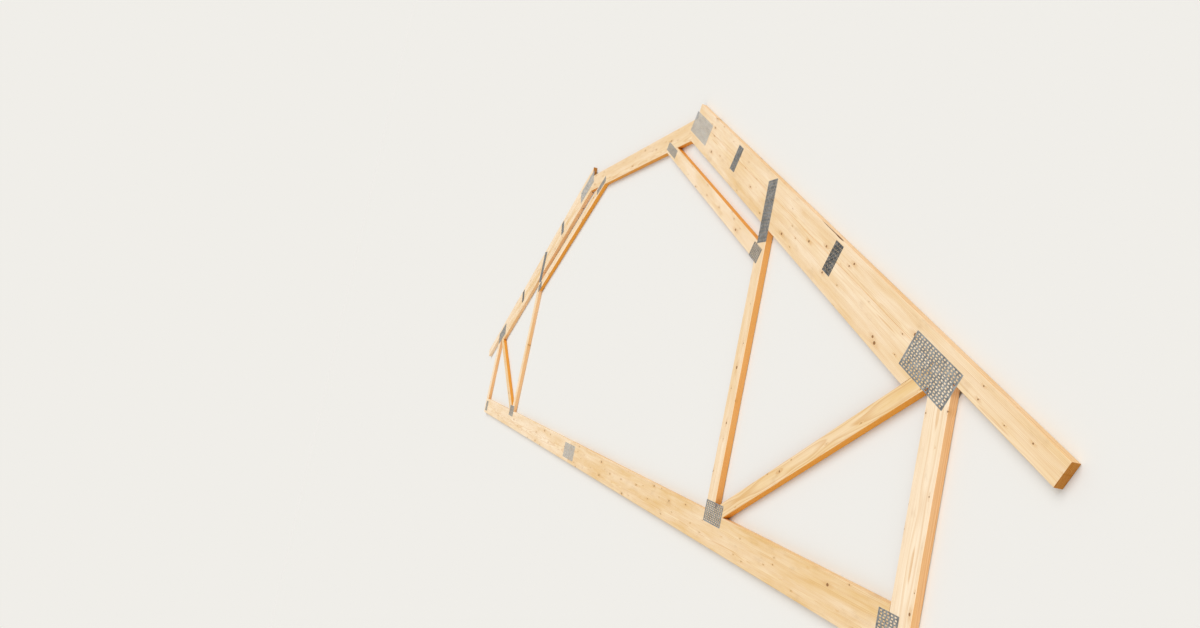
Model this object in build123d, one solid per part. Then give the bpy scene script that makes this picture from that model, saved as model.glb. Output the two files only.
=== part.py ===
from build123d import *
import os
from math import asin, atan2, cos, degrees, hypot, radians, sin

# Attic roof truss with a level top, lying on its back face.
# X runs along the span, Y up the truss and Z out of its front face. Millimetres and degrees.

# Layout of the truss, measured from the underside of the bottom chord and from mid-span
span_over_posts = 10200
room_width = 6100
top_chord_length = 2930
heel_height = 1360
roof_slope = 30
ceiling_slope = 29
ceiling_gap = 125
eave_length = 750
splice_offset = -180
diagonal_toe = 130

# Sawn and planed timber
timber_thickness = 45
arris_radius = 3
bottom_chord_depth = 220
top_chord_depth = 195
rafter_board_depth = 120
rafter_underboard_depth = 195
ceiling_board_depth = 120
inner_post_depth = 120
outer_post_depth = 145
diagonal_depth = 95

# Nail plates, pressed on both faces: length along the plate's own joint, then width
plate_thickness = 1.5
heel_plate_length = 390
heel_plate_width = 190
heel_plate_drop = 35
outer_foot_plate_length = 140
outer_foot_plate_width = 150
inner_foot_plate_length = 240
inner_foot_plate_width = 140
splice_plate_length = 360
splice_plate_width = 150
stitch_plate_length = 95
stitch_plate_width = 190
lower_stitch_distance = 1020
upper_stitch_distance = 746
post_head_plate_length = 120
post_head_plate_width = 435
ceiling_foot_plate_length = 140
ceiling_foot_plate_width = 105
ceiling_foot_plate_drop = 15
ceiling_head_plate_length = 280
ceiling_head_plate_width = 75
corner_plate_length = 450
corner_plate_width = 175
corner_plate_overlap = 60
plate_clearance = 4

# Points and lines of the right-hand half, as pairs (x, y)
outer_face = span_over_posts / 2
heel_x = outer_face - outer_post_depth
room_face = room_width / 2
bay_face = room_face + inner_post_depth
rafter_depth = rafter_board_depth + rafter_underboard_depth
corner_lean = roof_slope / 2


def rafter_line(depth):
    """A point of the line that lies the given depth below the rafter's top edge."""
    return (outer_face, heel_height - depth / cos(radians(roof_slope)))


def meet(point_a, angle_a, point_b, angle_b):
    """The point where two lines meet, each given by a point and its angle from +X."""
    ax, ay = cos(radians(angle_a)), sin(radians(angle_a))
    bx, by = cos(radians(angle_b)), sin(radians(angle_b))
    reach = ((point_b[0] - point_a[0]) * by - (point_b[1] - point_a[1]) * bx) / (ax * by - ay * bx)
    return (point_a[0] + reach * ax, point_a[1] + reach * ay)


def along(point, angle, distance):
    """The point at a distance from another, in the direction of an angle from +X."""
    return (point[0] + distance * cos(radians(angle)), point[1] + distance * sin(radians(angle)))


def timber(outline, grain_angle):
    """A board of full section with eased arrises, sawn to its outline."""
    turned = [along((0, 0), degrees(atan2(y, x)) - grain_angle, hypot(x, y)) for x, y in outline]
    ends = [x for x, y in turned]
    edges = [y for x, y in turned]
    middle = ((min(ends) + max(ends)) / 2, (min(edges) + max(edges)) / 2)
    blank = Box(max(ends) - min(ends), max(edges) - min(edges), timber_thickness)
    blank = fillet(blank.edges().filter_by(Axis.X), arris_radius)
    blank = Rot(0, 0, grain_angle) * Pos(middle[0], middle[1], 0) * blank
    cuts = extrude(make_face(Polyline(*outline, close=True)), timber_thickness, both=True)
    return Pos(0, 0, plate_thickness + timber_thickness / 2) * (blank & cuts)


def plate_pair(name, centre, length, width, angle=0):
    """Two nail plates, one flat on each face of a joint."""
    sheet = Box(length, width, plate_thickness)
    plate = Pos(centre[0], centre[1], plate_thickness / 2) * Rot(0, 0, angle) * sheet
    return {
        name + "_back": plate,
        name + "_front": Pos(0, 0, plate_thickness + timber_thickness) * plate,
    }


def mirrored(point):
    return (-point[0], point[1])


# Corner of rafter and top chord: the joint leans halfway between upright and square to the rafter
inner_corner = meet((top_chord_length / 2, 0), 90, rafter_line(rafter_depth), 180 - roof_slope)
top_chord_underside = inner_corner[1]
joint_angle = 90 - corner_lean
rafter_tip = meet(inner_corner, joint_angle, rafter_line(0), 180 - roof_slope)
board_corner = meet(inner_corner, joint_angle, rafter_line(rafter_board_depth), 180 - roof_slope)
top_chord_corner = meet(inner_corner, joint_angle, (0, top_chord_underside + top_chord_depth), 0)

# Heel: the post's inner face, the rafter board's underside and the diagonal's upper edge meet in one point
heel_point = meet((heel_x, 0), 90, rafter_line(rafter_board_depth), 180 - roof_slope)
post_shoulder = meet((outer_face, 0), 90, rafter_line(rafter_board_depth), 180 - roof_slope)
toe = (bay_face + diagonal_toe, bottom_chord_depth)
toe_to_heel = (heel_point[0] - toe[0], heel_point[1] - toe[1])
diagonal_angle = degrees(atan2(toe_to_heel[1], toe_to_heel[0]) - asin(diagonal_depth / hypot(*toe_to_heel)))
diagonal_seat = meet(toe, diagonal_angle, (heel_x, 0), 90)
diagonal_back = meet(heel_point, diagonal_angle, (bay_face, 0), 90)
underboard_end = meet(heel_point, diagonal_angle, rafter_line(rafter_depth), 180 - roof_slope)

# Eave, cut square to the rafter
eave_top = along(rafter_line(0), -roof_slope, eave_length)
eave_bottom = along(eave_top, -90 - roof_slope, rafter_board_depth)

# Ceiling board: from the underside of the top chord down to the room face of the inner post
ceiling_angle = 180 - ceiling_slope
post_top_in = meet((room_face, 0), 90, rafter_line(rafter_depth), 180 - roof_slope)
post_top_out = meet((bay_face, 0), 90, rafter_line(rafter_depth), 180 - roof_slope)
ceiling_foot_top = (room_face, post_top_in[1] - ceiling_gap)
ceiling_foot_bottom = (room_face, ceiling_foot_top[1] - ceiling_board_depth / cos(radians(ceiling_slope)))
ceiling_head_top = meet(ceiling_foot_top, ceiling_angle, (0, top_chord_underside), 0)
ceiling_head_bottom = meet(ceiling_foot_bottom, ceiling_angle, (0, top_chord_underside), 0)

# Outlines of the right-hand timbers, each with the angle of its grain
side_timbers = {
    "outer_post": (
        [(heel_x, 0), (outer_face, 0), post_shoulder, heel_point], 90),
    "inner_post": (
        [(room_face, bottom_chord_depth), (bay_face, bottom_chord_depth), post_top_out, post_top_in], 90),
    "diagonal": (
        [(bay_face, bottom_chord_depth), toe, diagonal_seat, heel_point, diagonal_back], diagonal_angle),
    "rafter_board": (
        [rafter_tip, board_corner, eave_bottom, eave_top], -roof_slope),
    "rafter_underboard": (
        [board_corner, inner_corner, underboard_end, heel_point], -roof_slope),
    "ceiling_board": (
        [ceiling_head_top, ceiling_head_bottom, ceiling_foot_bottom, ceiling_foot_top], -ceiling_slope),
}

parts = {}
for name, (outline, grain_angle) in side_timbers.items():
    parts[name + "_right"] = timber(outline, grain_angle)
    parts[name + "_left"] = timber([mirrored(point) for point in outline], -grain_angle)

# Level members
parts["top_chord"] = timber(
    [inner_corner, top_chord_corner, mirrored(top_chord_corner), mirrored(inner_corner)], 0)
for side, (start, end) in {"left": (-heel_x, splice_offset), "right": (splice_offset, heel_x)}.items():
    parts["bottom_chord_" + side] = timber(
        [(start, 0), (end, 0), (end, bottom_chord_depth), (start, bottom_chord_depth)], 0)

# Plates of the right-hand half: centre, length, width and angle
stitch_datum = meet(
    ((room_face + bay_face) / 2, 0), 90, rafter_line(rafter_board_depth), 180 - roof_slope)
rafter_middle = rafter_line(rafter_depth / 2)
corner_joint = meet(inner_corner, joint_angle, rafter_middle, 180 - roof_slope)
ceiling_foot_middle = (ceiling_foot_top[1] + ceiling_foot_bottom[1]) / 2
ceiling_foot_centre = (room_face, ceiling_foot_middle - ceiling_foot_plate_drop)
post_head_left = room_face + inner_post_depth / 2 - post_head_plate_length / 2
ceiling_plate_edge = along(ceiling_foot_centre, 90 - ceiling_slope, ceiling_foot_plate_width / 2)
post_head_bottom = meet(ceiling_plate_edge, ceiling_angle, (post_head_left, 0), 90)[1] + plate_clearance

side_plates = {
    "outer_foot_plate": (
        (heel_x, bottom_chord_depth / 2), outer_foot_plate_length, outer_foot_plate_width, 0),
    "inner_foot_plate": (
        (bay_face, bottom_chord_depth), inner_foot_plate_length, inner_foot_plate_width, 0),
    "heel_plate": (
        along(heel_point, -90 - roof_slope, heel_plate_drop),
        heel_plate_length, heel_plate_width, -roof_slope),
    "stitch_plate_lower": (
        along(stitch_datum, -roof_slope, lower_stitch_distance),
        stitch_plate_length, stitch_plate_width, -roof_slope),
    "stitch_plate_upper": (
        along(stitch_datum, 180 - roof_slope, upper_stitch_distance),
        stitch_plate_length, stitch_plate_width, -roof_slope),
    "post_head_plate": (
        (post_head_left + post_head_plate_length / 2, post_head_bottom + post_head_plate_width / 2),
        post_head_plate_length, post_head_plate_width, 0),
    "ceiling_foot_plate": (
        ceiling_foot_centre, ceiling_foot_plate_length, ceiling_foot_plate_width, -ceiling_slope),
    "ceiling_head_plate": (
        ((ceiling_head_top[0] + ceiling_head_bottom[0]) / 2, top_chord_underside),
        ceiling_head_plate_length, ceiling_head_plate_width, -ceiling_slope),
    "corner_plate": (
        along(corner_joint, -roof_slope, corner_plate_length / 2 - corner_plate_overlap),
        corner_plate_length, corner_plate_width, -roof_slope),
}

for name, (centre, length, width, angle) in side_plates.items():
    parts.update(plate_pair(name + "_right", centre, length, width, angle))
    parts.update(plate_pair(name + "_left", mirrored(centre), length, width, -angle))
parts.update(plate_pair(
    "splice_plate", (splice_offset, bottom_chord_depth / 2), splice_plate_length, splice_plate_width))

# The origin is at the middle of the truss's box, on the level that its back plates lie on
overall_height = rafter_tip[1]
os.makedirs("parts", exist_ok=True)
for name, shape in parts.items():
    export_step(Pos(0, -overall_height / 2, 0) * shape, "parts/" + name + ".step")
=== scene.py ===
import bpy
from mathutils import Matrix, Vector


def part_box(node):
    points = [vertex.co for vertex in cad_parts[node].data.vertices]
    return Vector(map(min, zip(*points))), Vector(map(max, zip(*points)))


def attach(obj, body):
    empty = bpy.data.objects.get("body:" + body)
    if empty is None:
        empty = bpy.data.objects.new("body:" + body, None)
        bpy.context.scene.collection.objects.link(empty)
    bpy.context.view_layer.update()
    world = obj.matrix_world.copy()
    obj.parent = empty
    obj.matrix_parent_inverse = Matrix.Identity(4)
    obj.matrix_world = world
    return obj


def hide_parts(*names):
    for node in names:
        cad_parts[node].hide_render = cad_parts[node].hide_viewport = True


bl_info = {
    "name": "Attic Roof Truss",
    "version": (1, 0, 0),
    "blender": (4, 5, 0),
    "location": "View3D > Sidebar > Roof Truss",
    "description": "Finishes the timbers of an attic roof truss and makes its slotted nail plates",
    "category": "Object",
}

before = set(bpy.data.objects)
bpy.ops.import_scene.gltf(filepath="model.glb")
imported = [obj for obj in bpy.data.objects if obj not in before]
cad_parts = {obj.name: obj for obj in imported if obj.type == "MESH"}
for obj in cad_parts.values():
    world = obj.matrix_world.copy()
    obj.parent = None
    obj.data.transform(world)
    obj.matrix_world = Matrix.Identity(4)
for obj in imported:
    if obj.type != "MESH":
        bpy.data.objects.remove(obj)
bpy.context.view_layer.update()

import random
from math import copysign, cos, pi, radians, sin, sqrt

import bmesh
import bpy
from mathutils import Matrix, Vector

MM = 0.001

# Direction of the grain in each timber of the right-hand half, in degrees from +X
GRAIN_ANGLES = {
    "bottom_chord": 0,
    "top_chord": 0,
    "outer_post": 90,
    "inner_post": 90,
    "diagonal": 30.5,
    "rafter_board": -30,
    "rafter_underboard": -30,
    "ceiling_board": -29,
}

# Direction of the slots in each nail plate of the right-hand half, in degrees from +X
SLOT_ANGLES = {
    "outer_foot_plate": 0,
    "inner_foot_plate": 0,
    "splice_plate": 0,
    "heel_plate": -30,
    "corner_plate": -30,
    "stitch_plate": 60,
    "post_head_plate": 90,
    "ceiling_foot_plate": -29,
    "ceiling_head_plate": -29,
}

# How golden each timber is, on its wide faces and then on its narrow edges; no two boards are alike in tone.
# The face tints are the boards' own tones, except that the top chord's deeper tint is painted shade and the
# left rafter board's paler tint is painted sunlight. The edge tints are partly the amber of edge grain and
# partly painted shade: high on members whose narrow edges sit in shade, low where the edges face the light
TINTS_AND_SHADE = {
    "bottom_chord_right": (0.6, 0.2),
    "bottom_chord_left": (0.2, 0.1),
    "top_chord": (0.45, 1),
    "outer_post": (0, 0.6),
    "inner_post_right": (0.3, 0.8),
    "inner_post_left": (0.2, 0.5),
    "diagonal": (0.65, 1),
    "rafter_board_right": (0.35, 0.25),
    "rafter_board_left": (0.05, 0.2),
    "rafter_underboard": (0.4, 0.45),
    "ceiling_board": (0.25, 1),
}

# Dark strips along a board's upper front arris: from its lower end, half length and width in millimetres
DARK_ARRIS_STRIPS = {"rafter_board_right": ((1994, 62, 6.5), (2099, 175, 3.5))}

# Brightness of each plate's zinc coat, partly the coat's own and partly painted reflection, such as the pale
# sky that the bright coat stands in for on the upper plates
ZINC_COATS_AND_REFLECTIONS = {"dull": 0.05, "dim": 0.25, "medium": 0.42, "bright": 0.75}

# The coat of each nail plate, which carries its painted reflection, and whether its slots are wide or narrow
PLATE_ROLLS = {
    "outer_foot_plate": ("medium", "wide"),
    "inner_foot_plate": ("medium", "wide"),
    "splice_plate": ("bright", "wide"),
    "heel_plate": ("medium", "wide"),
    "corner_plate": ("bright", "wide"),
    "stitch_plate_lower": ("dull", "narrow"),
    "stitch_plate_upper": ("dim", "narrow"),
    "post_head_plate": ("dim", "narrow"),
    "ceiling_foot_plate": ("dim", "wide"),
    "ceiling_head_plate": ("medium", "wide"),
}

# The first timber's seed. Each timber has a seed of its own
FIRST_SEED = 100

# Ranges for each board's own wood: how far along the pattern it lies, in metres, where its pith lies across
# it and beside it, in millimetres from its middle, and how patchy its heartwood is
BOARD_SHIFT = (20, 200)
PITH_ACROSS = (-60, 60)
PITH_BESIDE = (25, 80)
PATCHINESS = (1.2, 2.2)

# The cell that holds each knot, across a board and through it, and a knot's width as a share of its length
KNOT_CELL_ACROSS = 90 * MM
KNOT_CELL_THROUGH = 110 * MM
KNOT_SLIMNESS = 0.06

# What a length along the grain counts for in knots and in their halos, which makes both of them oval
KNOT_SQUEEZE = 0.8
HALO_SQUEEZE = 0.3

# How rare large knots are, where a knot's dark rim lies, in knot radii, and how many rings it has
KNOT_RARITY = 3
KNOT_RIM = 0.88
KNOT_RINGS = 4

# Directions from the truss towards each lamp
KEY_DIRECTION = (0.15, 0.62, 0.77)
FILL_DIRECTION = (0.7, -0.6, 0.4)

# Where the camera stands, and the directions of its right-hand side and of its back
CAMERA_PLACE = (8.030, -0.759, 2.6045)
CAMERA_RIGHT = (0.30809, 0.20297, -0.92945)
CAMERA_BACK = (0.95134, -0.07244, 0.29952)

# Sockets of Blender's Mix node when it mixes colours
FACTOR, COLOUR_A, COLOUR_B, COLOUR_OUT = 0, 6, 7, 2


def linear(hex_colour):
    """An sRGB hex colour as linear red, green, blue and alpha."""
    channels = [int(hex_colour[i:i + 2], 16) / 255 for i in (0, 2, 4)]
    return [c / 12.92 if c <= 0.04045 else ((c + 0.055) / 1.055) ** 2.4 for c in channels] + [1]


def colour(name, description, hex_colour):
    return bpy.props.FloatVectorProperty(
        name=name, description=description, default=linear(hex_colour), subtype="COLOR", size=4, min=0, max=1)


def length(name, description, millimetres):
    return bpy.props.FloatProperty(
        name=name, description=description, default=millimetres * MM, unit="LENGTH", min=0, precision=4)


def share(name, description, default):
    return bpy.props.FloatProperty(
        name=name, description=description, default=default, subtype="FACTOR", min=0, max=1)


class SpruceSettings(bpy.types.PropertyGroup):
    earlywood: colour("Earlywood", "Pale wood between the growth lines", "FBE8CB")
    latewood: colour(
        "Latewood", "What a growth line makes of white wood, and darkens other wood by", "DDB57A")
    heartwood: colour("Heartwood", "Deeper patches of a board", "E9C587")
    # Partly the amber of closely ringed edges and partly painted shade, deepened to the tone of edges in
    # shade
    edge_wood_and_shade: colour("Edge wood", "Narrow sawn edges, where the growth lines lie close", "EBA23A")
    # Partly darker end grain and partly painted shade, deepened to the tone of a sawn end in shade
    end_grain_and_shade: colour("End grain", "Sawn ends", "B87A20")
    knot_wood: colour("Knot", "Heart of a knot", "96622C")
    knot_rim: colour("Knot rim", "Dark bark and resin round a knot", "5E3A14")
    knot_halo: colour("Knot halo", "Resin-rich wood round a knot", "D09548")
    # Colour of the dark strips along a board's arris
    dark_arris: colour("Bark", "Strips left where a board reached the outside of the log", "5F3510")
    grime: colour("Grime", "Dust and scuffs from handling", "BE9566")
    ring_width: length("Ring width", "Distance between growth rings", 4.5)
    ring_wander: length("Ring wander", "How far the rings stray along a board", 16)
    knot_spacing: length("Knot spacing", "Distance between knots along a board", 330)
    largest_knot: length("Largest knot", "Radius of the largest knots", 9)
    smallest_knot: length("Smallest knot", "Radius of the smallest pin knots", 3)
    roughness: share("Roughness", "Planed surface", 0.55)
    gloss: share("Gloss", "Mirror-like part of the light, which is weak on raw wood", 0.2)


class NailPlateSettings(bpy.types.PropertyGroup):
    zinc_light: colour("Light zinc", "Bright crystals of the zinc coat", "C7C9C9")
    zinc_dark: colour("Dark zinc", "Dull crystals of the zinc coat", "4E5052")
    crystal: length("Zinc crystal", "Size of the crystals in the zinc coat", 9)
    slot_pitch: length("Slot pitch", "From one slot to the next along a row", 25)
    row_pitch: length("Row pitch", "From one row of slots to the next", 13)
    row_shift: length("Row shift", "How far every second row is set along", 5)
    slot_length: length("Slot length", "Opening left by a pair of teeth", 17.5)
    wide_slot: length("Wide slot", "Across a slot of the wide pattern", 7.4)
    narrow_slot: length("Narrow slot", "Across a slot of the narrow pattern", 3.8)
    slot_corner: length("Slot corner", "Cut corner of a slot", 1.2)
    edge_round: length("Edge round", "Drawn-in edge of the sheet round each slot", 0.5)
    tooth_gap: length("Tooth gap", "From a tooth to each long side of its slot", 0.5)
    tooth_length: length("Tooth length", "From a tooth's root to its point, up to half of its slot", 8.5)
    tooth_drop: share("Tooth drop", "Height of a tooth's root as a share of the sheet's thickness", 0.8)
    roughness: share("Roughness", "Zinc coat", 0.55)


class StageSettings(bpy.types.PropertyGroup):
    pale: colour("Floor", "Floor and backdrop", "E9E7E2")
    floor_roughness: share("Floor roughness", "Matt floor", 0.9)
    floor_size: bpy.props.FloatProperty(
        name="Floor size", description="Half the side of the floor", default=300, unit="LENGTH", min=1)
    lens: bpy.props.FloatProperty(
        name="Lens", description="Focal length", default=24.72, unit="CAMERA", min=1)
    key_light: bpy.props.FloatProperty(
        name="Key light", description="Irradiance of the soft key light", default=1.75, min=0)
    fill_light: bpy.props.FloatProperty(
        name="Fill light", description="Irradiance of the soft fill light", default=0.8, min=0)
    lamp_spread: bpy.props.FloatProperty(
        name="Lamp spread", description="How wide each lamp is, seen from the truss", default=radians(48),
        subtype="ANGLE", min=0)
    room_light: bpy.props.FloatProperty(
        name="Room light", description="Strength of the even light from all round", default=0.54, min=0)


def add(tree, kind, inputs, **settings):
    """Adds a node with its settings. Each input is a value or another node's output."""
    node = tree.nodes.new(kind)
    for name, value in settings.items():
        setattr(node, name, value)
    for name, value in inputs.items():
        if isinstance(value, bpy.types.NodeSocket):
            tree.links.new(value, node.inputs[name])
        else:
            node.inputs[name].default_value = value
    return node


def entry_of(name, table):
    """What a table by kinds of piece says of one piece. The longest kind that its name starts with counts."""
    return table[max((kind for kind in table if name.startswith(kind)), key=len)]


def angle_of(name, angles):
    """The angle that a table of the right-hand half gives for a piece of either half, in radians."""
    return radians(entry_of(name, angles)) * (-1 if "_left" in name else 1)


def dark_arris_places(name, angle):
    """Where a board has dark strips along its arris: the middle, half length and width of each strip."""
    if name not in DARK_ARRIS_STRIPS:
        return []
    turn = Matrix.Rotation(angle, 4, "Z")
    points = [turn.inverted() @ vertex.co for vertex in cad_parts[name].data.vertices]
    lower_end, upper_edge, front = (max(p[axis] for p in points) for axis in range(3))
    return [
        (turn @ Vector((lower_end - distance * MM, upper_edge, front)), half_length * MM, width * MM)
        for distance, half_length, width in DARK_ARRIS_STRIPS[name]]


def grain_streaks(tree, board):
    """Noise that runs with the grain, each kind with the size of its streaks and its detail. Fibres are drawn
    coarser than real ones, which are too fine to show."""
    streaks = {}
    for kind, sizes, detail in (
            ("stray", (850 * MM, 260 * MM, 260 * MM), 2),
            ("patch", (520 * MM, 75 * MM, 75 * MM), 3),
            ("scuff", (140 * MM, 70 * MM, 70 * MM), 4),
            ("fibre", (240 * MM, 3.5 * MM, 3.5 * MM), 3),
            ("saw", (400 * MM, 90 * MM, 4 * MM), 3)):
        stretched = add(tree, "ShaderNodeVectorMath", {0: board, 1: [1 / size for size in sizes]},
                        operation="MULTIPLY")
        streaks[kind] = add(tree, "ShaderNodeTexNoise", {
            "Vector": stretched.outputs[0], "Scale": 1, "Detail": detail, "Roughness": 0.6}).outputs
    return streaks


def knots(tree, board, look):
    """Four measures of the nearest knot: the distance from its middle in knot radii, the same in the longer
    oval of its halo, the distance from its dark rim, and its rings. Knots are thin spindles that run through
    the board's thickness."""
    cell = (look.knot_spacing, KNOT_CELL_ACROSS, KNOT_CELL_THROUGH)
    cells = add(tree, "ShaderNodeVectorMath", {0: board, 1: [1 / size for size in cell]},
                operation="MULTIPLY")
    nearest = add(tree, "ShaderNodeTexVoronoi", {"Vector": cells.outputs[0], "Scale": 1, "Randomness": 1})
    from_knot = add(tree, "ShaderNodeVectorMath", {0: cells.outputs[0], 1: nearest.outputs["Position"]},
                    operation="SUBTRACT")
    luck = add(tree, "ShaderNodeSeparateColor", {"Color": nearest.outputs["Color"]})
    knot_size = add(tree, "ShaderNodeMath", {0: luck.outputs["Red"], 1: KNOT_RARITY}, operation="POWER")
    radius = add(tree, "ShaderNodeMath", {
        0: knot_size.outputs[0], 1: look.largest_knot - look.smallest_knot, 2: look.smallest_knot,
    }, operation="MULTIPLY_ADD")

    ovals = []
    for squeeze in (KNOT_SQUEEZE, HALO_SQUEEZE):
        squeezed = add(tree, "ShaderNodeVectorMath", {
            0: from_knot.outputs[0], 1: (cell[0] * squeeze, cell[1], cell[2] * KNOT_SLIMNESS),
        }, operation="MULTIPLY")
        distance = add(tree, "ShaderNodeVectorMath", {0: squeezed.outputs[0]}, operation="LENGTH")
        ovals.append(add(tree, "ShaderNodeMath", {0: distance.outputs["Value"], 1: radius.outputs[0]},
                         operation="DIVIDE").outputs[0])
    in_knot, in_halo = ovals

    off_rim = add(tree, "ShaderNodeMath", {0: in_knot, 1: KNOT_RIM}, operation="SUBTRACT")
    from_rim = add(tree, "ShaderNodeMath", {0: off_rim.outputs[0]}, operation="ABSOLUTE")
    years = add(tree, "ShaderNodeMath", {0: in_knot, 1: KNOT_RINGS}, operation="MULTIPLY")
    rings = add(tree, "ShaderNodeMath", {0: years.outputs[0]}, operation="FRACT")
    return in_knot, in_halo, from_rim.outputs[0], rings.outputs[0]


def facing(tree, normal, direction):
    """How squarely the surface faces along a direction, either way."""
    dot = add(tree, "ShaderNodeVectorMath", {0: normal, 1: direction}, operation="DOT_PRODUCT")
    return add(tree, "ShaderNodeMath", {0: dot.outputs["Value"]}, operation="ABSOLUTE").outputs[0]


def growth_lines(tree, board, stray, halo, pith, shift, look):
    """The dark line of each growth ring, and how strongly the rings show. They are shells round the pith,
    which stray slowly along the board and bend round knots."""
    wander = 2 * look.ring_wander
    bend = 5 * MM
    moved = add(tree, "ShaderNodeVectorMath", {0: stray, 1: (0, wander, wander), 2: board},
                operation="MULTIPLY_ADD")
    from_pith = add(tree, "ShaderNodeVectorMath", {0: moved.outputs[0], 1: pith}, operation="SUBTRACT")
    section = add(tree, "ShaderNodeVectorMath", {0: from_pith.outputs[0], 1: (0, 1, 1)}, operation="MULTIPLY")
    shell = add(tree, "ShaderNodeVectorMath", {0: section.outputs[0]}, operation="LENGTH")
    bent = add(tree, "ShaderNodeMath", {0: halo, 1: bend, 2: shell.outputs["Value"]},
               operation="MULTIPLY_ADD")

    # Good and poor years come in spells, which widen or narrow the rings and make them strong or faint
    spell = 26 * MM
    drift = 2.5
    faintest = 0.1
    slow = add(tree, "ShaderNodeMath", {0: bent.outputs[0], 1: 1 / spell, 2: shift},
               operation="MULTIPLY_ADD")
    growth = add(tree, "ShaderNodeTexNoise", {"W": slow.outputs[0], "Scale": 1, "Detail": 1},
                 noise_dimensions="1D").outputs["Fac"]
    years = add(tree, "ShaderNodeMath", {0: bent.outputs[0], 1: 1 / look.ring_width}, operation="MULTIPLY")
    uneven = add(tree, "ShaderNodeMath", {0: growth, 1: drift, 2: years.outputs[0]},
                 operation="MULTIPLY_ADD")
    strength = add(tree, "ShaderNodeMath", {0: growth, 1: faintest}, operation="ADD")

    # A year's wood is pale up to the first share of its ring, darkest at the second and pale again at its end
    spring, autumn = 0.35, 0.88
    season = add(tree, "ShaderNodeMath", {0: uneven.outputs[0]}, operation="FRACT")
    line = add(tree, "ShaderNodeValToRGB", {"Fac": season.outputs[0]})
    line.color_ramp.elements[0].position = spring
    line.color_ramp.elements[0].color = (0, 0, 0, 1)
    line.color_ramp.elements[1].position = autumn
    line.color_ramp.elements[1].color = (1, 1, 1, 1)
    line.color_ramp.elements.new(1).color = (0, 0, 0, 1)
    return line.outputs["Color"], strength.outputs[0]


def dark_arris_masks(tree, place, fibre, angle, dark_arris):
    """Masks of a board's dark strips along its arris, each a thin lens round the arris that frays along the
    fibres.
    """
    fraying = 0.7
    bare, covered = 1.35, 1.1
    masks = []
    for middle, half_length, width in dark_arris:
        lens = add(tree, "ShaderNodeMapping", {
            "Vector": place, "Location": middle, "Rotation": (0, 0, angle),
            "Scale": (half_length, width, width)}, vector_type="TEXTURE")
        reached = add(tree, "ShaderNodeVectorMath", {0: lens.outputs["Vector"]}, operation="LENGTH")
        frayed = add(tree, "ShaderNodeMath", {0: fibre, 1: fraying, 2: reached.outputs["Value"]},
                     operation="MULTIPLY_ADD")
        masks.append(add(tree, "ShaderNodeMapRange", {
            "Value": frayed.outputs[0], "From Min": bare, "From Max": covered}).outputs["Result"])
    return masks


def layered(tree, base, layers):
    """A base colour under layers of others, each at its amount where its mask is full."""
    for blend, tint, mask, amount in layers:
        factor = add(tree, "ShaderNodeMath", {0: mask, 1: amount}, operation="MULTIPLY")
        base = add(tree, "ShaderNodeMix", {FACTOR: factor.outputs[0], COLOUR_A: base, COLOUR_B: tint},
                   data_type="RGBA", blend_type=blend).outputs[COLOUR_OUT]
    return base


def wood_surface(tree, shader, fibre, line, masks, look):
    """Gloss, roughness of fibres and of sawn ends, and relief of fibres, growth lines and saw marks."""
    unevenness = 0.2
    extra_on_ends = 0.25
    planed = add(tree, "ShaderNodeMath", {
        0: fibre, 1: unevenness, 2: look.roughness - unevenness / 2}, operation="MULTIPLY_ADD")
    sawn = add(tree, "ShaderNodeMath", {0: masks["end"], 1: extra_on_ends, 2: planed.outputs[0]},
               operation="MULTIPLY_ADD")
    tree.links.new(sawn.outputs[0], shader.inputs["Roughness"])
    shader.inputs["Specular IOR Level"].default_value = look.gloss

    # Heights of growth lines and of saw marks, when that of a fibre is 1
    line_height, saw_mark_height = 0.5, 1.5
    raised = add(tree, "ShaderNodeMath", {0: line, 1: line_height, 2: fibre}, operation="MULTIPLY_ADD")
    relief = add(tree, "ShaderNodeMath", {0: masks["saw marks"], 1: saw_mark_height, 2: raised.outputs[0]},
                 operation="MULTIPLY_ADD")
    bump = add(tree, "ShaderNodeBump", {"Height": relief.outputs[0], "Distance": 0.5 * MM, "Strength": 0.6})
    tree.links.new(bump.outputs["Normal"], shader.inputs["Normal"])


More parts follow.
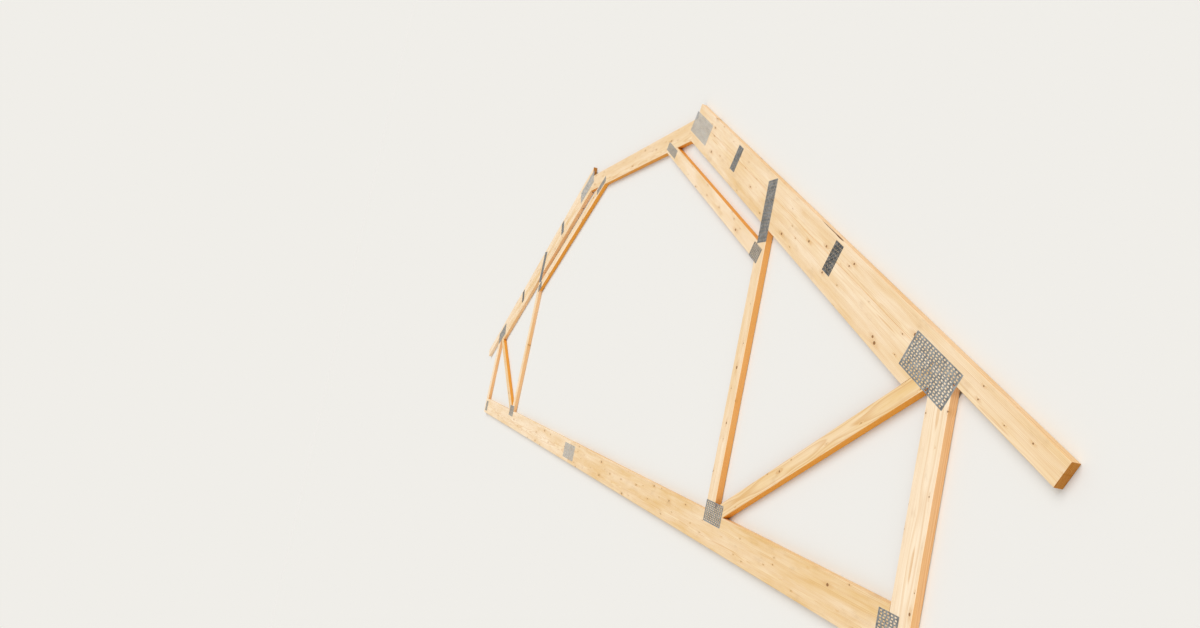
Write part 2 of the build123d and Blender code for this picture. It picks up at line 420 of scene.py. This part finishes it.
def spruce(name, centre, angle, tints_and_shade, dark_arris, chance, look):
    """Planed spruce: growth rings round a pith beside the board, knots, and end grain on the sawn ends, with
    painted shade on the sawn ends and on the narrow edges.
    X runs along the grain, Y across the board's depth and Z through its thickness."""
    material = bpy.data.materials.new(name)
    material.use_nodes = True
    tree = material.node_tree
    shader = tree.nodes["Principled BSDF"]
    grain = Vector((cos(angle), sin(angle), 0))
    across = Vector((-sin(angle), cos(angle), 0))
    shift = chance.uniform(*BOARD_SHIFT)
    pith_across = chance.uniform(*PITH_ACROSS) * MM
    pith_beside = chance.choice((-1, 1)) * chance.uniform(*PITH_BESIDE) * MM
    patchiness = chance.uniform(*PATCHINESS)
    face_tint_and_light, edge_tint_and_shade = tints_and_shade

    place = add(tree, "ShaderNodeTexCoord", {}).outputs
    board = add(tree, "ShaderNodeMapping", {
        "Vector": place["Object"], "Location": centre - grain * shift, "Rotation": (0, 0, angle),
    }, vector_type="TEXTURE").outputs["Vector"]
    streaks = grain_streaks(tree, board)
    fibre = streaks["fibre"]["Fac"]
    in_knot, in_halo, from_rim, knot_rings = knots(tree, board, look)

    # Soft-edged masks, each from none to full as its measure goes from the first to the second number
    masks = {}
    for mask, measure, none, full in (
            ("knot", in_knot, 1.05, 0.85),
            ("rim", from_rim, 0.26, 0.06),
            ("halo", in_halo, 2.8, 0.7),
            ("scuff", streaks["scuff"]["Fac"], 0.55, 0.8),
            ("fibre", fibre, 0.35, 0.75),
            ("saw", streaks["saw"]["Fac"], 0.4, 0.65),
            ("edge", facing(tree, place["Normal"], across), 0.5, 0.85),
            ("end", facing(tree, place["Normal"], grain), 0.45, 0.8)):
        masks[mask] = add(tree, "ShaderNodeMapRange", {
            "Value": measure, "From Min": none, "From Max": full,
        }, interpolation_type="SMOOTHSTEP").outputs["Result"]

    # The share of heartwood rises and falls along the board, round the one that the board has on the whole,
    # which holds painted shade on the top chord and painted sunlight on the left rafter board
    masks["heart"] = add(tree, "ShaderNodeMath", {
        0: streaks["patch"]["Fac"], 1: patchiness, 2: face_tint_and_light - patchiness / 2,
    }, operation="MULTIPLY_ADD", use_clamp=True).outputs[0]

    # Rings fade in and out on planed faces, and on sawn ends they all show, with the marks of the saw
    line, strength = growth_lines(
        tree, board, streaks["stray"]["Color"], masks["halo"], (0, pith_across, pith_beside), shift, look)
    for mask, pattern, where in (
            ("rings", line, strength),
            ("knot rings", knot_rings, masks["knot"]),
            ("end rings", line, masks["end"]),
            ("saw marks", masks["saw"], masks["end"])):
        masks[mask] = add(tree, "ShaderNodeMath", {0: pattern, 1: where}, operation="MULTIPLY").outputs[0]

    wood = layered(tree, look.earlywood, (
        ("MIX", look.heartwood, masks["heart"], 1),
        # Narrow edges: partly amber edge grain, partly painted shade through each member's edge tint
        ("MIX", look.edge_wood_and_shade, masks["edge"], edge_tint_and_shade),
        ("MULTIPLY", look.latewood, masks["rings"], 0.65),
        ("MULTIPLY", look.latewood, masks["fibre"], 0.24),
        ("MIX", look.knot_halo, masks["halo"], 0.3),
        ("MIX", look.grime, masks["scuff"], 0.3),
        ("MIX", look.knot_wood, masks["knot"], 0.85),
        ("MIX", look.knot_rim, masks["knot rings"], 0.35),
        ("MIX", look.knot_rim, masks["rim"], 0.55),
        # Sawn ends: partly darker end grain, partly painted shade
        ("MIX", look.end_grain_and_shade, masks["end"], 0.92),
        ("MULTIPLY", look.latewood, masks["end rings"], 0.8),
        ("MULTIPLY", look.latewood, masks["saw marks"], 0.4),
        # Dark strips along the upper front arris
        *(("MIX", look.dark_arris, mask, 0.9) for mask in dark_arris_masks(tree, place["Object"], fibre, angle, dark_arris))))
    tree.links.new(wood, shader.inputs["Base Color"])
    wood_surface(tree, shader, fibre, line, masks, look)
    return material


def galvanised_steel(name, coat_and_reflection, look):
    """Hot-dip galvanised steel strip: a dull metal whose zinc coat has frozen in crystals of uneven
    brightness. The plate's brightness, from 0 to 1, is partly the coat's own and partly painted reflection."""
    material = bpy.data.materials.new("galvanised_steel_" + name)
    material.use_nodes = True
    tree = material.node_tree
    shader = tree.nodes["Principled BSDF"]
    place = add(tree, "ShaderNodeTexCoord", {}).outputs["Object"]
    crystal = add(tree, "ShaderNodeTexVoronoi", {"Vector": place, "Scale": 1 / look.crystal})
    tone = add(tree, "ShaderNodeSeparateColor", {"Color": crystal.outputs["Color"]})

    # Scuffs and crystals each brighten the coat by up to a share, and about half of both comes off it
    scuff_size = 45 * MM
    scuff_share, crystal_share, taken_off = 0.5, 0.35, 0.4
    scuff = add(tree, "ShaderNodeTexNoise", {
        "Vector": place, "Scale": 1 / scuff_size, "Detail": 4}).outputs["Fac"]
    scuffed = add(tree, "ShaderNodeMath", {0: scuff, 1: scuff_share, 2: coat_and_reflection - taken_off},
                  operation="MULTIPLY_ADD")
    factor = add(tree, "ShaderNodeMath", {
        0: tone.outputs["Red"], 1: crystal_share, 2: scuffed.outputs[0]}, operation="MULTIPLY_ADD").outputs[0]
    zinc = add(tree, "ShaderNodeMix", {FACTOR: factor, COLOUR_A: look.zinc_dark, COLOUR_B: look.zinc_light},
               data_type="RGBA")
    tree.links.new(zinc.outputs[COLOUR_OUT], shader.inputs["Base Color"])

    # The brighter the coat, the rougher it is
    unevenness = 0.2
    dull = add(tree, "ShaderNodeMath", {
        0: factor, 1: unevenness, 2: look.roughness - unevenness / 2}, operation="MULTIPLY_ADD")
    tree.links.new(dull.outputs[0], shader.inputs["Roughness"])
    bump = add(tree, "ShaderNodeBump", {"Height": scuff, "Distance": 0.4 * MM, "Strength": 0.5})
    tree.links.new(bump.outputs["Normal"], shader.inputs["Normal"])
    shader.inputs["Metallic"].default_value = 1
    return material


def punched_sheet(size_x, size_y, thickness, slot_width, look):
    """A flat sheet with rows of slots punched through it, and the places of the slots."""
    columns = int(size_x / look.slot_pitch)
    rows = int(size_y / look.row_pitch)
    field = Vector((columns * look.slot_pitch, rows * look.row_pitch))
    places = []

    sheet = bmesh.new()
    bmesh.ops.create_grid(sheet, x_segments=columns, y_segments=rows, size=0.5)
    bmesh.ops.scale(sheet, vec=(field.x, field.y, 1), verts=sheet.verts)
    rim = [v for v in sheet.verts if v.is_boundary]
    slots = sheet.faces[:]
    margin = (look.row_pitch - slot_width) / 2
    bmesh.ops.inset_individual(sheet, faces=slots, thickness=margin, use_even_offset=True)
    for slot in slots:
        centre = slot.calc_center_median()
        row = round((centre.y + field.y / 2) / look.row_pitch - 0.5)
        shift = look.row_shift / 2 * (1 if row % 2 else -1)
        bmesh.ops.scale(
            sheet, vec=(look.slot_length / (look.slot_pitch - 2 * margin), 1, 1),
            space=Matrix.Translation(-centre), verts=slot.verts)
        bmesh.ops.translate(sheet, vec=(shift, 0, 0), verts=slot.verts)
        places.append(centre + Vector((shift, 0, 0)))

    # The border round the field of slots widens to the sheet's edges
    close = 0.1 * MM
    for vertex in rim:
        if abs(abs(vertex.co.x) - field.x / 2) < close:
            vertex.co.x = copysign(size_x / 2, vertex.co.x)
        if abs(abs(vertex.co.y) - field.y / 2) < close:
            vertex.co.y = copysign(size_y / 2, vertex.co.y)

    # With its four corners cut, a slot is the only kind of face that has eight
    bmesh.ops.bevel(
        sheet, geom=[v for slot in slots for v in slot.verts], offset=look.slot_corner,
        affect="VERTICES", segments=1, profile=0.5, material=-1)
    bmesh.ops.delete(sheet, geom=[f for f in sheet.faces if len(f.verts) == 8], context="FACES_ONLY")

    top = bmesh.ops.extrude_face_region(sheet, geom=sheet.faces[:], use_keep_orig=True)["geom"]
    top_faces = {item for item in top if isinstance(item, bmesh.types.BMFace)}
    top_points = [item for item in top if isinstance(item, bmesh.types.BMVert)]
    bmesh.ops.translate(sheet, vec=(0, 0, thickness), verts=top_points)
    bmesh.ops.recalc_face_normals(sheet, faces=sheet.faces)
    drawn = [e for e in sheet.edges if sum(f in top_faces for f in e.link_faces) == 1]
    bmesh.ops.bevel(
        sheet, geom=drawn, offset=look.edge_round, affect="EDGES", segments=1, profile=0.5, material=-1)
    return sheet, places


def bent_teeth(places, thickness, slot_width, look):
    """Two pointed teeth for each slot, made of its metal and bent down at its ends."""
    tooth_width = slot_width - 2 * look.tooth_gap
    blade = (Matrix.Diagonal((thickness / sqrt(2), tooth_width / sqrt(2), 1, 1))
             @ Matrix.Rotation(pi / 4, 4, "Z"))
    middle = look.tooth_drop * thickness - look.tooth_length / 2
    teeth = bmesh.new()
    for place in places:
        for end in (-1, 1):
            root = place + Vector((end * (look.slot_length - thickness) / 2, 0, middle))
            bmesh.ops.create_cone(
                teeth, cap_ends=True, segments=4, radius1=0, radius2=1, depth=look.tooth_length,
                matrix=Matrix.Translation(root) @ blade)
    return teeth


def nail_plate(node, material, slot_width, look):
    """A nail plate with its slots and teeth, in the place and at the size of its CAD node."""
    low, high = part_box(node)
    angle = angle_of(node, SLOT_ANGLES)
    unturn = Matrix.Rotation(-angle, 4, "Z")
    corners = [unturn @ vertex.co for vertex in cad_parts[node].data.vertices]
    size_x = max(c.x for c in corners) - min(c.x for c in corners)
    size_y = max(c.y for c in corners) - min(c.y for c in corners)
    thickness = high.z - low.z
    sheet, places = punched_sheet(size_x, size_y, thickness, slot_width, look)
    teeth = bent_teeth(places, thickness, slot_width, look)
    mesh = bpy.data.meshes.new("slotted_" + node)
    teeth.to_mesh(mesh)
    teeth.free()
    sheet.from_mesh(mesh)

    turn = Matrix.Rotation(angle, 4, "Z")
    outward = Matrix.Identity(4) if node.endswith("_front") else Matrix.Rotation(pi, 4, "X")
    lay = Matrix.Translation((low + high) / 2) @ turn @ outward @ Matrix.Translation((0, 0, -thickness / 2))
    bmesh.ops.transform(sheet, matrix=lay, verts=sheet.verts)
    sheet.to_mesh(mesh)
    sheet.free()
    plate = bpy.data.objects.new("slotted_" + node, mesh)
    bpy.context.scene.collection.objects.link(plate)
    mesh.materials.append(material)
    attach(plate, "root")
    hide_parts(node)


class TRUSS_OT_timbers(bpy.types.Operator):
    """Give each timber its own planed spruce, with the grain along the board"""
    bl_idname = "truss.timbers"
    bl_label = "Finish Timbers"

    def execute(self, context):
        look = context.scene.truss_spruce
        timbers = sorted(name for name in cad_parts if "plate" not in name)
        if not timbers:
            raise RuntimeError("the frame has no timbers")
        for number, name in enumerate(timbers):
            low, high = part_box(name)
            angle = angle_of(name, GRAIN_ANGLES)
            wood = spruce(
                "spruce_" + name, (low + high) / 2, angle, entry_of(name, TINTS_AND_SHADE), dark_arris_places(name, angle),
                random.Random(FIRST_SEED + number), look)
            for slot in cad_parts[name].material_slots:
                slot.material = wood
        return {"FINISHED"}


class TRUSS_OT_nail_plates(bpy.types.Operator):
    """Make the slotted nail plates on both faces of the truss"""
    bl_idname = "truss.nail_plates"
    bl_label = "Make Nail Plates"

    def execute(self, context):
        look = context.scene.truss_nail_plates
        coats = {name: galvanised_steel(name, coat_and_reflection, look) for name, coat_and_reflection in ZINC_COATS_AND_REFLECTIONS.items()}
        plates = sorted(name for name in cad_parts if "plate" in name)
        if not plates:
            raise RuntimeError("the frame has no nail plates")
        slot_widths = {"wide": look.wide_slot, "narrow": look.narrow_slot}
        for name in plates:
            coat, pattern = entry_of(name, PLATE_ROLLS)
            nail_plate(name, coats[coat], slot_widths[pattern], look)
        return {"FINISHED"}


class TRUSS_OT_stage(bpy.types.Operator):
    """Lay the floor and set the lights and the camera"""
    bl_idname = "truss.stage"
    bl_label = "Set Stage"

    def execute(self, context):
        look = context.scene.truss_stage
        lay_floor(look)
        light_room(look)
        aim_camera(look)
        context.scene.view_settings.view_transform = "Standard"
        return {"FINISHED"}


def lay_floor(look):
    """A pale matt floor, just below the back plates so that no two faces share a plane."""
    material = bpy.data.materials.new("floor")
    material.use_nodes = True
    shader = material.node_tree.nodes["Principled BSDF"]
    shader.inputs["Base Color"].default_value = look.pale
    shader.inputs["Roughness"].default_value = look.floor_roughness
    shader.inputs["Specular IOR Level"].default_value = 0
    gap = 0.5 * MM
    sheet = bmesh.new()
    bmesh.ops.create_grid(sheet, x_segments=1, y_segments=1, size=look.floor_size)
    bmesh.ops.translate(sheet, vec=(0, 0, -gap), verts=sheet.verts)
    mesh = bpy.data.meshes.new("floor")
    sheet.to_mesh(mesh)
    sheet.free()
    floor = bpy.data.objects.new("floor", mesh)
    bpy.context.scene.collection.objects.link(floor)
    mesh.materials.append(material)


def light_room(look):
    """A soft key light above the top chord, a fill light beyond the eave and an even light from all round."""
    floor_light = look.room_light
    for name, direction, irradiance in (
            ("key", KEY_DIRECTION, look.key_light), ("fill", FILL_DIRECTION, look.fill_light)):
        to_lamp = Vector(direction).normalized()
        lamp = bpy.data.lights.new(name, "SUN")
        lamp.energy = irradiance
        lamp.angle = look.lamp_spread
        sun = bpy.data.objects.new(name, lamp)
        sun.rotation_euler = to_lamp.to_track_quat("Z", "Y").to_euler()
        bpy.context.scene.collection.objects.link(sun)
        floor_light += irradiance * to_lamp.z / pi

    # Seen directly or in metal, the backdrop is as bright as the lit floor
    world = bpy.data.worlds.new("room")
    world.use_nodes = True
    tree = world.node_tree
    tree.nodes.clear()
    path = add(tree, "ShaderNodeLightPath", {})
    direct = add(tree, "ShaderNodeMath", {
        0: path.outputs["Is Camera Ray"], 1: path.outputs["Is Glossy Ray"]}, operation="MAXIMUM")
    seen = add(tree, "ShaderNodeMath", {
        0: direct.outputs[0], 1: path.outputs["Is Transmission Ray"]}, operation="MAXIMUM")
    room = add(tree, "ShaderNodeBackground", {"Color": (1, 1, 1, 1), "Strength": look.room_light})
    backdrop = add(tree, "ShaderNodeBackground", {"Color": look.pale, "Strength": floor_light})
    either = add(tree, "ShaderNodeMixShader", {
        0: seen.outputs[0], 1: room.outputs[0], 2: backdrop.outputs[0]})
    output = add(tree, "ShaderNodeOutputWorld", {"Surface": either.outputs[0]})
    output.is_active_output = True
    bpy.context.scene.world = world


def aim_camera(look):
    """The camera stands beyond the right-hand eave, in front of the truss and just above its bottom chord."""
    right = Vector(CAMERA_RIGHT).normalized()
    back = Vector(CAMERA_BACK).normalized()
    up = back.cross(right).normalized()
    right = up.cross(back)
    lens = bpy.data.cameras.new("camera")
    lens.lens = look.lens
    lens.clip_end = 2 * look.floor_size
    camera = bpy.data.objects.new("camera", lens)
    turned = Matrix((right, up, back)).transposed().to_4x4()
    camera.matrix_world = Matrix.Translation(CAMERA_PLACE) @ turned
    bpy.context.scene.collection.objects.link(camera)
    bpy.context.scene.camera = camera


class TRUSS_PT_panel(bpy.types.Panel):
    """The steps that dress the truss, with their sizes and colours"""
    bl_idname = "TRUSS_PT_panel"
    bl_label = "Roof Truss"
    bl_space_type = "VIEW_3D"
    bl_region_type = "UI"
    bl_category = "Roof Truss"

    def draw(self, context):
        for operator, settings in STEPS.items():
            box = self.layout.box()
            box.operator(operator.bl_idname)
            group = getattr(context.scene, settings)
            for name in group.__annotations__:
                box.prop(group, name)


SETTINGS = {
    "truss_spruce": SpruceSettings,
    "truss_nail_plates": NailPlateSettings,
    "truss_stage": StageSettings,
}
STEPS = {
    TRUSS_OT_timbers: "truss_spruce",
    TRUSS_OT_nail_plates: "truss_nail_plates",
    TRUSS_OT_stage: "truss_stage",
}


def register():
    for name, group in SETTINGS.items():
        bpy.utils.register_class(group)
        setattr(bpy.types.Scene, name, bpy.props.PointerProperty(type=group))
    for operator in STEPS:
        bpy.utils.register_class(operator)
    bpy.utils.register_class(TRUSS_PT_panel)


def unregister():
    bpy.utils.unregister_class(TRUSS_PT_panel)
    for operator in reversed(STEPS):
        bpy.utils.unregister_class(operator)
    for name, group in reversed(SETTINGS.items()):
        delattr(bpy.types.Scene, name)
        bpy.utils.unregister_class(group)


def main():
    register()
    bpy.ops.truss.timbers()
    bpy.ops.truss.nail_plates()
    bpy.ops.truss.stage()


if __name__ == "__main__":
    main()
